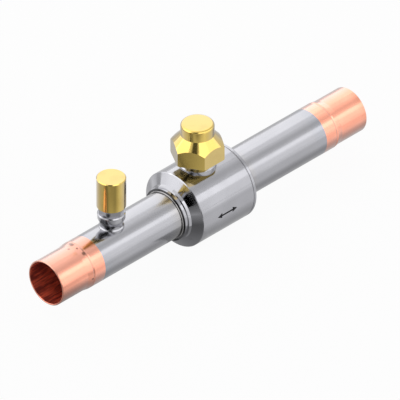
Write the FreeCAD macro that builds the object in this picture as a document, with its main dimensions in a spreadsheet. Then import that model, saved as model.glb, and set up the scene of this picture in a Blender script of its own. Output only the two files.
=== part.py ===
import FreeCAD, Part
import Sketcher
import os
import re

# Refrigerant service valve: a full-bore ball valve welded into a steel line with copper solder ends,
# a brass seal cap over its stem and a capped access port on its left tube.
# Frame: millimetres, origin at the centre of the ball, +X along the flow, +Z up the stem.

doc = FreeCAD.newDocument("ServiceValve")

# degrees from +X to a corner of a hexagon, and the nearness in millimetres of an edge that is looked for
CORNER_ALONG_FLOW = 0
FLAT_ALONG_FLOW = 30
EDGE_NEARNESS = 1e-4

DRIVING = [
    ("fit_gap", 0.05, "radial play of pieces that stay together"),
    ("run_gap", 0.08, "play of pieces that move on each other"),
    # ball and its seats
    ("ball_wall", 5.5, "ball round its bore"),
    ("ball_slot_depth", 3.4, "driving slot on top of the ball"),
    ("ball_slot_width", 5.0, "driving slot on top of the ball"),
    ("ball_vent_radius", 0.8, "hole that keeps the cavity at bore pressure"),
    ("seat_step", 0.4, "seat bore beyond the ball bore"),
    ("seat_width", 4.6, "seat ring from its bore to its rim"),
    ("seat_length", 5.0, "seat ring along the flow"),
    ("seat_inset", 1.0, "back of the seat inside the ball's radius"),
    ("seat_spring_space", 0.7, "room for the disc spring behind a seat"),
    ("seat_spring_sheet", 0.4, "thickness of the disc spring"),
    ("seat_stand", 0.6, "seat standing out of its pocket"),
    # valve body and its closure
    ("cavity_gap", 1.3, "room round the ball"),
    ("body_wall", 3.8, "wall of the body round the cavity"),
    ("pocket_web", 2.9, "web between the seat pocket and the tube"),
    ("cone_offset", 1.2, "seat pocket floor to the left cone"),
    ("cone_length", 2.9, "left cone along the flow"),
    ("cone_edge", 0.35, "broken edge at the wide end of the cone"),
    ("hub_wall", 2.35, "wide hub step round the tube"),
    ("hub_length", 1.35, "wide hub step"),
    ("hub_slope", 0.35, "slope from the wide step to the narrow one"),
    ("collar_wall", 1.4, "narrow hub step round the tube"),
    ("collar_length", 1.8, "narrow hub step"),
    ("weld_fillet", 0.35, "weld between the narrow step and the tube"),
    ("seam_offset", 4.1, "seat pocket floor to the closing seam"),
    ("seam_width", 0.6, "welded seam round the body"),
    ("seam_depth", 0.35, "seam below the body's surface"),
    ("closure_flange", 1.9, "closure's rim beyond the seam"),
    ("closure_edge", 0.5, "rounding of the closure's rim"),
    # line tubes and copper ends
    ("left_reach", 104.2, "ball centre to the left mouth"),
    ("right_reach", 106.2, "ball centre to the right mouth"),
    ("bore_step", 0.25, "tube bore beyond the ball bore"),
    ("socket_radius", 11.15, "solder socket for 7/8 in tube"),
    ("bore_shoulder", 1.65, "solder socket to the ball bore"),
    ("socket_depth", 20.4, "mouth to the tube stop"),
    ("copper_wall", 1.35, "copper sleeve over the steel"),
    ("copper_thinning", 0.5, "copper wall lost towards the mouth"),
    ("copper_length", 28.5, "visible copper"),
    ("stop_width", 1.2, "rolled tube stop along the flow"),
    ("stop_height", 0.25, "rolled tube stop into the bore"),
    ("copper_step", 3.2, "tube stop to the thinner mouth"),
    ("mouth_edge", 0.25, "broken edges of a mouth"),
    # stem and its neck
    ("stem_radius", 5.0, "stem in the neck"),
    ("stem_lift", 0.4, "top of the ball to the stem's flange"),
    ("tang_reach", 5.9, "half length of the tang"),
    ("tang_gap", 0.2, "tang above the slot's floor"),
    ("flange_step", 1.5, "stem flange beyond the stem"),
    ("flange_height", 1.6, "stem flange"),
    ("washer_height", 0.55, "thrust washer"),
    ("groove_depth", 1.2, "seal grooves of the stem"),
    ("groove_width", 1.8, "seal grooves of the stem"),
    ("groove_pitch", 4.2, "lower groove to upper groove"),
    ("groove_offset", 0.3, "body's top to the lower groove"),
    ("head_square", 6.6, "square of the stem's head across flats"),
    ("head_height", 6.6, "square of the stem's head"),
    ("head_lift", 0.4, "neck's top to the square"),
    ("head_mark", 0.8, "flow mark sawn into the head"),
    ("neck_wall", 3.3, "neck round the stem"),
    ("neck_show", 4.3, "neck between the body and the cap"),
    ("neck_shank", 0.6, "plain neck inside the cap's mouth"),
    ("collar_step", 1.0, "collar at the neck's foot"),
    ("collar_height", 0.9, "collar above the body"),
    ("thread_length", 8.8, "neck inside the cap"),
    ("thread_relief", 0.3, "thread below the plain neck"),
    ("stop_recess", 3.0, "quarter-turn recess in the neck's top"),
    ("stop_recess_step", 1.9, "recess beyond the stem"),
    ("stop_pin_radius", 1.0, "stop pin"),
    ("stop_play", 0.1, "pin to the end of the recess"),
    # brass seal cap
    ("cap_across_flats", 23.8, "hexagon"),
    ("cap_hex_height", 7.5, "hexagon's corners"),
    ("cap_cone_height", 5.8, "cone between the hexagon and the button"),
    ("button_radius", 8.4, "button on top of the cap"),
    ("button_rounding", 1.5, "top edge of the button"),
    ("cap_mouth_gap", 0.25, "mouth round the plain neck"),
    ("cap_cavity_radius", 5.9, "cavity for the stem's head"),
    ("cap_head_room", 1.1, "room over the stem's head"),
    ("cap_top", 2.6, "top of the cap"),
    ("cap_edge", 0.3, "broken edge under the hexagon"),
    ("gasket_height", 0.8, "gasket on the neck's top"),
    ("gasket_inset", 0.15, "gasket rim inside the thread"),
    ("gasket_width", 1.2, "gasket ring"),
    # access port
    ("port_station", 59.35, "ball centre to the port's axis"),
    ("port_neck_radius", 5.8, "neck of the port"),
    ("port_foot_step", 0.5, "braze foot beyond the neck"),
    ("port_foot_height", 0.6, "braze foot above the tube"),
    ("port_neck_height", 2.05, "tube to the flange's taper"),
    ("port_taper_height", 2.8, "taper under the flange"),
    ("port_flange_radius", 6.95, "round flange of the port"),
    ("port_flange_height", 2.4, "round flange of the port"),
    ("port_flange_edge", 0.5, "sloped top edge of the flange"),
    ("port_across_flats", 11.1, "hexagon on the flange"),
    ("port_hex_height", 4.2, "hexagon on the flange"),
    ("port_hex_edge", 0.4, "hexagon's corners broken"),
    ("port_spigot_radius", 3.45, "spigot in the tube's wall"),
    ("port_thread_radius", 5.56, "7/16 in thread under the cap"),
    ("port_thread_length", 10.0, "7/16 in thread under the cap"),
    ("port_flare_height", 1.8, "flare cone at the port's tip"),
    ("port_tip_radius", 3.9, "tip of the flare cone"),
    ("port_bore_radius", 2.4, "bore under the core"),
    # valve core
    ("core_wall", 0.6, "core barrel"),
    ("core_chamber_radius", 1.45, "room for the core's spring"),
    ("core_head_step", 0.6, "threaded head beyond the barrel"),
    ("core_head_height", 3.5, "threaded head"),
    ("core_depth", 1.2, "port's tip to the core's head"),
    ("core_length", 12.0, "core from head to lip"),
    ("core_lip", 0.8, "plates at both ends of the barrel"),
    ("core_guide", 2.0, "guide of the pin in the head"),
    ("core_gasket_depth", 6.0, "core's head to its gasket"),
    ("core_gasket_height", 2.0, "core gasket"),
    ("core_gasket_taper", 1.0, "tapered part of the core gasket"),
    ("core_slot", 1.6, "driver slot across the core's head"),
    ("core_slot_depth", 1.4, "driver slot across the core's head"),
    ("pin_radius", 0.7, "core pin"),
    ("pin_stand", 0.6, "pin above the core's head"),
    ("pin_collar_radius", 1.25, "collar that the spring pushes"),
    ("pin_collar_height", 0.6, "collar that the spring pushes"),
    ("core_cup_height", 0.9, "cup under the core's seal"),
    ("core_seal_height", 0.6, "seal under the core's lip"),
    ("spring_wire_radius", 0.18, "core spring"),
    ("spring_turns", 6, "core spring"),
    # access cap
    ("access_cap_wall", 1.7, "cap round the thread"),
    ("access_cap_room", 2.3, "room over the port's tip"),
    ("access_cap_top", 1.7, "top of the cap"),
    ("access_cap_edge", 0.4, "broken edges of the cap"),
    ("access_seal_height", 1.0, "seal on the port's tip"),
    ("access_seal_inset", 0.2, "seal rim inside the thread"),
    ("access_seal_width", 2.4, "seal ring"),
]

DERIVED = [
    ("ball_bore_radius", "socket_radius - bore_shoulder"),
    ("ball_radius", "ball_bore_radius + ball_wall"),
    ("body_radius", "ball_radius + cavity_gap + body_wall"),
    ("cavity_radius", "ball_radius + cavity_gap"),
    ("seat_bore_radius", "ball_bore_radius + seat_step"),
    ("seat_radius", "seat_bore_radius + seat_width"),
    ("seat_back", "ball_radius - seat_inset"),
    ("seat_front", "seat_back - seat_length"),
    ("pocket_radius", "seat_radius + fit_gap"),
    ("pocket_front", "seat_front + seat_stand"),
    ("pocket_floor", "seat_back + seat_spring_space"),
    ("cone_start", "pocket_floor + cone_offset"),
    ("cone_end", "cone_start + cone_length"),
    ("seam_start", "pocket_floor + seam_offset"),
    ("seam_end", "seam_start + seam_width"),
    ("closure_face", "seam_end + closure_flange"),
    ("tube_start", "pocket_floor + pocket_web"),
    ("tube_radius", "socket_radius + copper_wall"),
    ("tube_bore_radius", "ball_bore_radius + bore_step"),
    ("mouth_radius", "tube_radius - copper_thinning"),
    ("hub_radius", "tube_radius + hub_wall"),
    ("collar_radius", "tube_radius + collar_wall"),
    ("neck_radius", "stem_radius + neck_wall"),
    ("neck_foot", "ball_radius + stem_lift"),
    ("flange_radius", "stem_radius + flange_step"),
    ("flange_top", "neck_foot + flange_height"),
    ("washer_top", "flange_top + run_gap + washer_height"),
    ("groove_radius", "stem_radius - groove_depth"),
    ("lower_groove", "body_radius + groove_offset"),
    ("upper_groove", "lower_groove + groove_pitch"),
    ("cap_bottom", "body_radius + neck_show"),
    ("neck_top", "cap_bottom + thread_length"),
    ("thread_radius", "neck_radius - thread_relief"),
    ("stop_recess_radius", "stem_radius + stop_recess_step"),
    ("stop_pin_start", "4 * run_gap - stem_radius"),
    ("stop_pin_end", "stop_recess_radius - 4 * run_gap"),
    ("head_bottom", "neck_top + head_lift"),
    ("head_top", "head_bottom + head_height"),
    ("cap_shoulder", "neck_top + gasket_height + 2 * run_gap"),
    ("cap_corner_radius", "cap_across_flats / 2 / cos(30 deg)"),
    ("cap_corner_top", "cap_bottom + cap_hex_height"),
    ("button_bottom", "cap_corner_top + cap_cone_height"),
    ("cap_ceiling", "head_top + cap_head_room"),
    ("button_top", "cap_ceiling + cap_top"),
    ("port_taper_bottom", "tube_radius + port_neck_height"),
    ("port_flange_bottom", "port_taper_bottom + port_taper_height"),
    ("port_hex_bottom", "port_flange_bottom + port_flange_height"),
    ("port_hex_top", "port_hex_bottom + port_hex_height"),
    ("port_corner_radius", "port_across_flats / 2 / cos(30 deg)"),
    ("port_thread_top", "port_hex_top + port_thread_length"),
    ("port_tip", "port_thread_top + port_flare_height"),
    ("barrel_radius", "core_chamber_radius + core_wall"),
    ("core_head_radius", "barrel_radius + core_head_step"),
    ("core_seat_radius", "core_head_radius + fit_gap"),
    ("core_top", "port_tip - core_depth"),
    ("core_bottom", "core_top - core_length"),
    ("core_gasket_top", "core_top - core_gasket_depth"),
    ("core_gasket_bottom", "core_gasket_top - core_gasket_height"),
    ("spring_bottom", "core_bottom + core_lip"),
    ("spring_top", "core_top - core_guide - run_gap - pin_collar_height"),
    ("core_seal_top", "core_bottom - run_gap"),
    ("core_cup_top", "core_seal_top - core_seal_height"),
    ("core_cup_bottom", "core_cup_top - core_cup_height"),
    ("access_cap_radius", "port_thread_radius + run_gap + access_cap_wall"),
    ("access_cap_bottom", "port_hex_top + run_gap"),
    ("access_cap_shoulder", "port_tip + access_seal_height + 2 * run_gap"),
    ("access_cap_ceiling", "access_cap_shoulder + access_cap_room"),
    ("access_cap_top_face", "access_cap_ceiling + access_cap_top"),
]


def make_sheet():
    sheet = doc.addObject("Spreadsheet::Sheet", "Sizes")
    row = 1
    for alias, number, note in DRIVING:
        sheet.set(f"A{row}", alias)
        sheet.set(f"B{row}", str(number))
        sheet.setAlias(f"B{row}", alias)
        sheet.set(f"C{row}", note)
        row += 1
    for alias, formula in DERIVED:
        sheet.set(f"A{row}", alias)
        sheet.set(f"B{row}", "=" + formula)
        sheet.setAlias(f"B{row}", alias)
        row += 1
    doc.recompute()
    return sheet


SHEET = make_sheet()
ALIASES = {entry[0] for entry in DRIVING} | {entry[0] for entry in DERIVED}
NODES = []


def bound(formula):
    """The formula with each size of the sheet written as the sheet's cell."""
    return re.sub(r"[a-z][a-z_]*", lambda word: cell(word.group(0)), formula)


def cell(word):
    return f"Sizes.{word}" if word in ALIASES else word


def size(alias):
    return float(getattr(SHEET, alias))


def bind(thing, **formulas):
    for name, formula in formulas.items():
        thing.setExpression(name.replace("__", "."), bound(formula))


def node(thing, name):
    thing.Label = name
    NODES.append(thing)
    return thing


def plane_of(body, role):
    return next(item for item in body.Origin.OriginFeatures if item.Role == role)


def outline_sketch(body, name, corners, role="XZ_Plane"):
    """A closed outline of straight edges on a plane of the body, each corner bound to the sheet."""
    sketch = body.newObject("Sketcher::SketchObject", name)
    sketch.AttachmentSupport = (plane_of(body, role), [""])
    sketch.MapMode = "FlatFace"
    count = len(corners)
    start = Part.Circle(FreeCAD.Vector(0, 0, 0), FreeCAD.Vector(0, 0, 1), size("body_radius"))
    points = [start.value(start.LastParameter * index / count) for index in range(count)]
    for index in range(count):
        sketch.addGeometry(Part.LineSegment(points[index], points[(index + 1) % count]), False)
    for index in range(count):
        sketch.addConstraint(Sketcher.Constraint("Coincident", index, 2, (index + 1) % count, 1))
    for index, (across, up) in enumerate(corners):
        place_corner(sketch, index, "DistanceX", -2, across)
        place_corner(sketch, index, "DistanceY", -1, up)
    return sketch


def place_corner(sketch, index, kind, axis, formula):
    if formula == "0":
        sketch.addConstraint(Sketcher.Constraint("PointOnObject", index, 1, axis))
        return
    number = sketch.addConstraint(Sketcher.Constraint(kind, -1, 1, index, 1, 1.0))
    label = f"{kind[-1].lower()}_corner_{index}"
    sketch.renameConstraint(number, label)
    sketch.setExpression(f"Constraints.{label}", bound(formula))


def turned(name, corners, axis):
    """A body of revolution. Corners are (X, Z) and axis is H_Axis for the flow line or V_Axis for a stem."""
    body = doc.addObject("PartDesign::Body", name)
    sketch = outline_sketch(body, name + "_outline", corners)
    turn = body.newObject("PartDesign::Revolution", name + "_turn")
    turn.Profile = sketch
    turn.ReferenceAxis = (sketch, [axis])
    turn.Angle = 360
    doc.recompute()
    return body


def along_flow(name, corners):
    return turned(name, corners, "H_Axis")


def up_stem(name, corners):
    return turned(name, corners, "V_Axis")


def at_port(thing):
    bind(thing, Placement__Base__x="-port_station")
    return thing


def rod(name, radius, length, **place):
    """A plain cylinder along Z, moved and turned by its placement."""
    thing = doc.addObject("Part::Cylinder", name)
    bind(thing, Radius=radius, Height=length, **place)
    return thing


def flow_rod(name, radius, start, length):
    """A plain cylinder along the flow line."""
    thing = doc.addObject("Part::Cylinder", name)
    thing.Placement = FreeCAD.Placement(FreeCAD.Vector(), FreeCAD.Rotation(FreeCAD.Vector(0, 1, 0), 90))
    bind(thing, Radius=radius, Height=length, Placement__Base__x=start)
    return thing


def block(name, length, width, height, corner):
    thing = doc.addObject("Part::Box", name)
    bind(thing, Length=length, Width=width, Height=height)
    for letter, formula in zip("xyz", corner):
        thing.setExpression(f"Placement.Base.{letter}", bound(formula))
    return thing


def hexagon(name, corner_radius, height, bottom, turn):
    """A hexagonal prism with a corner at the angle turn from +X."""
    thing = doc.addObject("Part::Prism", name)
    thing.Polygon = 6
    thing.Placement = FreeCAD.Placement(FreeCAD.Vector(), FreeCAD.Rotation(FreeCAD.Vector(0, 0, 1), turn))
    bind(thing, Circumradius=corner_radius, Height=height, Placement__Base__z=bottom)
    return thing


def cut(name, base, *tools):
    """The base less each tool. A tool that takes nothing away is an error."""
    result = base
    for index, tool in enumerate(tools):
        before = solid_volume(result)
        step = doc.addObject("Part::Cut", f"{name}_cut_{index}")
        step.Base = result
        step.Tool = tool
        doc.recompute()
        if not solid_volume(step) < before:
            raise RuntimeError(f"{name}: {tool.Name} takes nothing away")
        result = step
    return result


def solid_volume(thing):
    doc.recompute()
    return thing.Shape.Volume


def fused(name, *things):
    step = doc.addObject("Part::MultiFuse", name)
    step.Shapes = list(things)
    step.Refine = True
    doc.recompute()
    return step


def common(name, *things):
    step = doc.addObject("Part::MultiCommon", name)
    step.Shapes = list(things)
    doc.recompute()
    return step


def round_edge(body, radius, height, rounding):
    """Rounds the circular edge of a body that turns about Z, found by its radius and height."""
    doc.recompute()
    base = body.Tip
    names = []
    for index, edge in enumerate(base.Shape.Edges):
        circle = edge.Curve
        if not isinstance(circle, Part.Circle):
            continue
        off = max(abs(circle.Radius - size(radius)), abs(circle.Center.z - size(height)))
        if off < EDGE_NEARNESS:
            names.append(f"Edge{index + 1}")
    fillet = body.newObject("PartDesign::Fillet", body.Name + "_rounding")
    fillet.Base = (base, names)
    bind(fillet, Radius=rounding)
    doc.recompute()
    return body


def make_valve_body():
    """The turned body: seat pocket and tube pocket on the left, open cavity on the right."""
    shell = along_flow("body_turned", [
        ("-cone_start", "body_radius - cone_edge"),
        ("-cone_start + cone_edge", "body_radius"),
        ("seam_start", "body_radius"),
        ("seam_start", "cavity_radius"),
        ("-pocket_front", "cavity_radius"),
        ("-pocket_front", "pocket_radius"),
        ("-pocket_floor", "pocket_radius"),
        ("-pocket_floor", "tube_bore_radius"),
        ("-tube_start", "tube_bore_radius"),
        ("-tube_start", "tube_radius + fit_gap"),
        ("-cone_end - hub_length - hub_slope - collar_length", "tube_radius + fit_gap"),
        ("-cone_end - hub_length - hub_slope - collar_length", "collar_radius"),
        ("-cone_end - hub_length - hub_slope", "collar_radius"),
        ("-cone_end - hub_length", "hub_radius - hub_slope"),
        ("-cone_end", "hub_radius"),
    ])
    hole = rod("body_neck_hole", "neck_radius + fit_gap", "2 * body_radius")
    node(cut("body", shell, hole), "valve_body")


def make_end_closure():
    """The ring that closes the body on the right, holds the right seat and takes the right tube."""
    ring = along_flow("closure_turned", [
        ("pocket_front", "pocket_radius"),
        ("pocket_front", "cavity_radius - fit_gap"),
        ("seam_start", "cavity_radius - fit_gap"),
        ("seam_start", "body_radius - seam_depth"),
        ("seam_end", "body_radius - seam_depth"),
        ("seam_end", "body_radius"),
        ("closure_face - closure_edge", "body_radius"),
        ("closure_face", "body_radius - closure_edge"),
        ("closure_face", "hub_radius"),
        ("closure_face + hub_length", "hub_radius - hub_slope"),
        ("closure_face + hub_length + hub_slope", "collar_radius"),
        ("closure_face + hub_length + hub_slope + collar_length", "collar_radius"),
        ("closure_face + hub_length + hub_slope + collar_length", "tube_radius + fit_gap"),
        ("tube_start", "tube_radius + fit_gap"),
        ("tube_start", "tube_bore_radius"),
        ("pocket_floor", "tube_bore_radius"),
        ("pocket_floor", "pocket_radius"),
    ])
    node(ring, "end_closure")


def side_corners(side, corners):
    """The corners as they are for the right side, or mirrored for the left side."""
    if side == "right":
        return corners
    return [(f"-({across})", up) for across, up in corners]


def hub_end(side):
    start = "cone_end" if side == "left" else "closure_face"
    return f"{start} + hub_length + hub_slope + collar_length"


def make_tube(side):
    """A steel line tube with the weld at its hub and a turned-down end inside the copper."""
    reach = f"{side}_reach"
    end = hub_end(side)
    tube = along_flow(f"{side}_tube_turned", side_corners(side, [
        ("tube_start", "tube_radius"),
        (end, "tube_radius"),
        (end, "tube_radius + weld_fillet"),
        (f"{end} + 0.3 * weld_fillet", "tube_radius + 0.3 * weld_fillet"),
        (f"{end} + weld_fillet", "tube_radius"),
        (f"{reach} - copper_length", "tube_radius"),
        (f"{reach} - copper_length", "socket_radius - fit_gap"),
        (f"{reach} - socket_depth - stop_width", "socket_radius - fit_gap"),
        (f"{reach} - socket_depth - stop_width", "tube_bore_radius"),
        ("tube_start", "tube_bore_radius"),
    ]))
    if side == "right":
        return node(tube, "right_tube")
    hole = rod("left_tube_port_hole", "port_spigot_radius + fit_gap", "2 * tube_radius")
    return node(cut("left_tube", tube, at_port(hole)), "left_tube")


def make_copper_end(side):
    """A copper sleeve lapped over the steel, with a rolled stop for the pipe that is soldered in."""
    reach = f"{side}_reach"
    stop = f"{reach} - socket_depth"
    sleeve = along_flow(f"{side}_copper", side_corners(side, [
        (f"{reach} - copper_length", "socket_radius"),
        (f"{reach} - copper_length", "tube_radius"),
        (f"{stop} - stop_width", "tube_radius"),
        (f"{stop} - stop_width / 2", "tube_radius - stop_height"),
        (stop, "tube_radius"),
        (f"{stop} + copper_step", "mouth_radius"),
        (f"{reach} - mouth_edge", "mouth_radius"),
        (reach, "mouth_radius - mouth_edge"),
        (reach, "socket_radius + mouth_edge"),
        (f"{reach} - mouth_edge", "socket_radius"),
        (stop, "socket_radius"),
        (f"{stop} - stop_width / 2", "socket_radius - stop_height"),
        (f"{stop} - stop_width", "socket_radius"),
    ]))
    node(sleeve, f"{side}_copper_end")


def make_ball():
    """The ball with its flow bore, the slot that the stem drives and the vent under the slot."""
    sphere = doc.addObject("Part::Sphere", "ball_sphere")
    bind(sphere, Radius="ball_radius")
    bore = flow_rod("ball_bore", "ball_bore_radius", "-ball_radius", "2 * ball_radius")
    slot = block(
        "ball_slot",
        "ball_slot_width",
        "2 * ball_radius",
        "ball_slot_depth",
        ("-ball_slot_width / 2", "-ball_radius", "ball_radius - ball_slot_depth"),
    )
    vent = rod("ball_vent", "ball_vent_radius", "ball_radius")
    node(cut("ball", sphere, bore, slot, vent), "ball")


def make_seat(side):
    """A seat ring whose inner corner is hollowed to the ball, and the disc spring behind it."""
    ring = along_flow(f"{side}_seat_turned", side_corners(side, [
        ("seat_front", "seat_bore_radius"),
        ("seat_front", "seat_radius"),
        ("seat_back", "seat_radius"),
        ("seat_back", "seat_bore_radius"),
    ]))
    hollow = doc.addObject("Part::Sphere", f"{side}_seat_hollow")
    bind(hollow, Radius="ball_radius + run_gap")
    node(cut(f"{side}_seat", ring, hollow), f"{side}_seat")
    spring = along_flow(f"{side}_disc", side_corners(side, [
        ("seat_back", "seat_bore_radius"),
        ("seat_back + seat_spring_sheet", "seat_bore_radius"),
        ("pocket_floor", "seat_radius"),
        ("pocket_floor - seat_spring_sheet", "seat_radius"),
    ]))
    node(spring, f"{side}_seat_spring")


def make_stem_neck():
    """The welded neck: flange chamber below, stem bore, thread outside and the quarter-turn recess on top."""
    tube = up_stem("neck_turned", [
        ("flange_radius + run_gap", "neck_foot"),
        ("neck_radius", "neck_foot"),
        ("neck_radius", "cap_bottom + neck_shank"),
        ("thread_radius", "cap_bottom + neck_shank + thread_relief"),
        ("thread_radius", "neck_top - thread_relief"),
        ("thread_radius - thread_relief", "neck_top"),
        ("stem_radius + run_gap", "neck_top"),
        ("stem_radius + run_gap", "washer_top"),
        ("flange_radius + run_gap", "washer_top"),
    ])
    collar = up_stem("neck_collar_turned", [
        ("neck_radius - fit_gap", "neck_foot"),
        ("neck_radius + collar_step", "neck_foot"),
        ("neck_radius + collar_step", "body_radius + collar_height / 2"),
        ("neck_radius", "body_radius + collar_height / 2 + collar_step"),
        ("neck_radius - fit_gap", "body_radius + collar_height / 2 + collar_step"),
    ])
    body_barrel = flow_rod("neck_body_barrel", "body_radius", "-body_radius", "2 * body_radius")
    seated_collar = cut("neck_collar", collar, body_barrel)
    recess_round = rod(
        "neck_recess_round",
        "stop_recess_radius",
        "2 * stop_recess",
        Placement__Base__z="neck_top - stop_recess",
    )
    recess_quarter = block(
        "neck_recess_quarter",
        "2 * neck_radius",
        "2 * neck_radius",
        "2 * stop_recess",
        (
            "-stop_pin_radius - stop_play",
            "stop_pin_radius + stop_play - 2 * neck_radius",
            "neck_top - stop_recess",
        ),
    )
    recess = common("neck_recess", recess_round, recess_quarter)
    node(cut("neck", fused("neck_whole", tube, seated_collar), recess), "stem_neck")


def make_stem():
    """The stem: tang in the ball, thrust flange, two seal grooves, hole for the stop pin and square head."""
    shaft = up_stem("stem_turned", [
        ("0", "neck_foot"),
        ("flange_radius", "neck_foot"),
        ("flange_radius", "flange_top"),
        ("stem_radius", "flange_top"),
        ("stem_radius", "lower_groove"),
        ("groove_radius", "lower_groove"),
        ("groove_radius", "lower_groove + groove_width"),
        ("stem_radius", "lower_groove + groove_width"),
        ("stem_radius", "upper_groove"),
        ("groove_radius", "upper_groove"),
        ("groove_radius", "upper_groove + groove_width"),
        ("stem_radius", "upper_groove + groove_width"),
        ("stem_radius", "head_bottom"),
        ("0", "head_bottom"),
    ])
    tang_blade = block(
        "stem_tang_blade",
        "ball_slot_width - 2 * fit_gap",
        "2 * tang_reach",
        "ball_slot_depth + stem_lift",
        (
            "fit_gap - ball_slot_width / 2",
            "-tang_reach",
            "ball_radius - ball_slot_depth + tang_gap",
        ),
    )
    tang_round = rod("stem_tang_round", "tang_reach", "neck_top")
    tang = common("stem_tang", tang_blade, tang_round)
    head_square = block(
        "stem_head_square",
        "head_square",
        "head_square",
        "head_height + head_lift",
        ("-head_square / 2", "-head_square / 2", "head_bottom - head_lift"),
    )
    head_round = up_stem("stem_head_turned", [
        ("0", "head_bottom - head_lift"),
        ("stem_radius - head_lift", "head_bottom - head_lift"),
        ("stem_radius - head_lift", "head_top - head_mark"),
        ("head_square / 2", "head_top"),
        ("0", "head_top"),
    ])
    head = common("stem_head", head_square, head_round)
    mark = block(
        "stem_mark",
        "2 * head_square",
        "head_mark",
        "2 * head_mark",
        ("-head_square", "-head_mark / 2", "head_top - head_mark"),
    )
    pin_hole = flow_rod("stem_pin_hole", "stop_pin_radius", "-2 * stem_radius", "4 * stem_radius")
    bind(pin_hole, Placement__Base__z="neck_top - stop_recess / 2")
    node(cut("stem", fused("stem_whole", shaft, tang, head), mark, pin_hole), "stem")


def make_stop_pin():
    """The pin through the stem that meets both ends of the recess a quarter turn apart."""
    pin = flow_rod("pin_rod", "stop_pin_radius", "stop_pin_start", "stop_pin_end - stop_pin_start")
    bind(pin, Placement__Base__z="neck_top - stop_recess / 2")
    node(pin, "stop_pin")


def make_stem_seals():
    """The thrust washer over the flange and a seal ring in each groove."""
    washer = up_stem("washer_turned", [
        ("stem_radius + run_gap", "flange_top + run_gap"),
        ("flange_radius", "flange_top + run_gap"),
        ("flange_radius", "washer_top"),
        ("stem_radius + run_gap", "washer_top"),
    ])
    node(washer, "thrust_washer")
    for level in ("lower", "upper"):
        ring = doc.addObject("Part::Torus", f"stem_ring_{level}")
        bind(
            ring,
            Radius1="groove_radius + groove_depth / 2",
            Radius2="groove_depth / 2",
            Placement__Base__z=f"{level}_groove + groove_width / 2",
        )
        node(ring, f"stem_seal_{level}")


def make_seal_cap():
    """The brass cap: a hexagon under a cone and a round button, hollow for the neck and the stem's head."""
    envelope = up_stem("cap_envelope", [
        ("0", "cap_bottom"),
        ("cap_corner_radius - cap_edge", "cap_bottom"),
        ("cap_corner_radius", "cap_bottom + cap_edge"),
        ("cap_corner_radius", "cap_corner_top"),
        ("button_radius", "button_bottom"),
        ("button_radius", "button_top"),
        ("0", "button_top"),
    ])
    round_edge(envelope, "button_radius", "button_top", "button_rounding")
    prism = hexagon("cap_hexagon", "cap_corner_radius", "button_top", "0", CORNER_ALONG_FLOW)
    hollow = up_stem("cap_hollow", [
        ("0", "cap_bottom - cap_edge"),
        ("neck_radius + cap_mouth_gap", "cap_bottom - cap_edge"),
        ("neck_radius + cap_mouth_gap", "cap_bottom + neck_shank + thread_relief"),
        ("thread_radius + run_gap", "cap_bottom + neck_shank + 2 * thread_relief"),
        ("thread_radius + run_gap", "cap_shoulder"),
        ("cap_cavity_radius", "cap_shoulder"),
        ("cap_cavity_radius", "cap_ceiling"),
        ("0", "cap_ceiling"),
    ])
    node(cut("cap", common("cap_outside", envelope, prism), hollow), "seal_cap")
    gasket = up_stem("gasket_turned", [
        ("thread_radius - gasket_inset - gasket_width", "neck_top + run_gap"),
        ("thread_radius - gasket_inset", "neck_top + run_gap"),
        ("thread_radius - gasket_inset", "neck_top + run_gap + gasket_height"),
        ("thread_radius - gasket_inset - gasket_width", "neck_top + run_gap + gasket_height"),
    ])
    node(gasket, "seal_cap_gasket")


def make_access_port():
    """The fitting brazed into the left tube: neck, flange, hexagon, thread, flare cone and core bore."""
    spigot = up_stem("port_spigot", [
        ("0", "tube_bore_radius + fit_gap"),
        ("port_spigot_radius", "tube_bore_radius + fit_gap"),
        ("port_spigot_radius", "port_taper_bottom"),
        ("0", "port_taper_bottom"),
    ])
    foot = up_stem("port_foot_turned", [
        ("0", "0"),
        ("port_neck_radius + port_foot_step", "0"),
        ("port_neck_radius + port_foot_step", "tube_radius + fit_gap"),
        ("port_neck_radius", "tube_radius + port_foot_height"),
        ("port_neck_radius", "port_taper_bottom"),
        ("0", "port_taper_bottom"),
    ])
    tube_barrel = flow_rod("port_tube_barrel", "tube_radius", "-tube_radius", "2 * tube_radius")
    foot_seated = cut("port_foot", foot, tube_barrel)
    flange = up_stem("port_flange_turned", [
        ("0", "port_taper_bottom - fit_gap"),
        ("port_neck_radius", "port_taper_bottom - fit_gap"),
        ("port_neck_radius", "port_taper_bottom"),
        ("port_flange_radius", "port_flange_bottom"),
        ("port_flange_radius", "port_hex_bottom"),
        ("port_flange_radius - port_flange_edge", "port_hex_bottom + port_flange_edge"),
        ("0", "port_hex_bottom + port_flange_edge"),
    ])
    prism = hexagon("port_hexagon", "port_corner_radius", "port_tip", "0", FLAT_ALONG_FLOW)
    hexagon_round = up_stem("port_hexagon_turned", [
        ("0", "port_hex_bottom"),
        ("port_corner_radius", "port_hex_bottom"),
        ("port_corner_radius", "port_hex_top - port_hex_edge"),
        ("port_corner_radius - port_hex_edge", "port_hex_top"),
        ("0", "port_hex_top"),
    ])
    nut = common("port_nut", prism, hexagon_round)
    thread = up_stem("port_thread", [
        ("0", "port_hex_bottom"),
        ("port_thread_radius - port_hex_edge", "port_hex_bottom"),
        ("port_thread_radius - port_hex_edge", "port_hex_top"),
        ("port_thread_radius", "port_hex_top + port_hex_edge"),
        ("port_thread_radius", "port_thread_top"),
        ("port_tip_radius", "port_tip"),
        ("0", "port_tip"),
    ])
    bore = up_stem("port_bore", [
        ("0", "0"),
        ("port_bore_radius", "0"),
        ("port_bore_radius", "core_gasket_bottom"),
        ("core_seat_radius", "core_gasket_bottom + core_gasket_taper"),
        ("core_seat_radius", "port_tip + port_flare_height"),
        ("0", "port_tip + port_flare_height"),
    ])
    whole = fused("port_whole", spigot, foot_seated, flange, nut, thread)
    node(at_port(cut("port", whole, bore)), "access_port")


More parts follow.
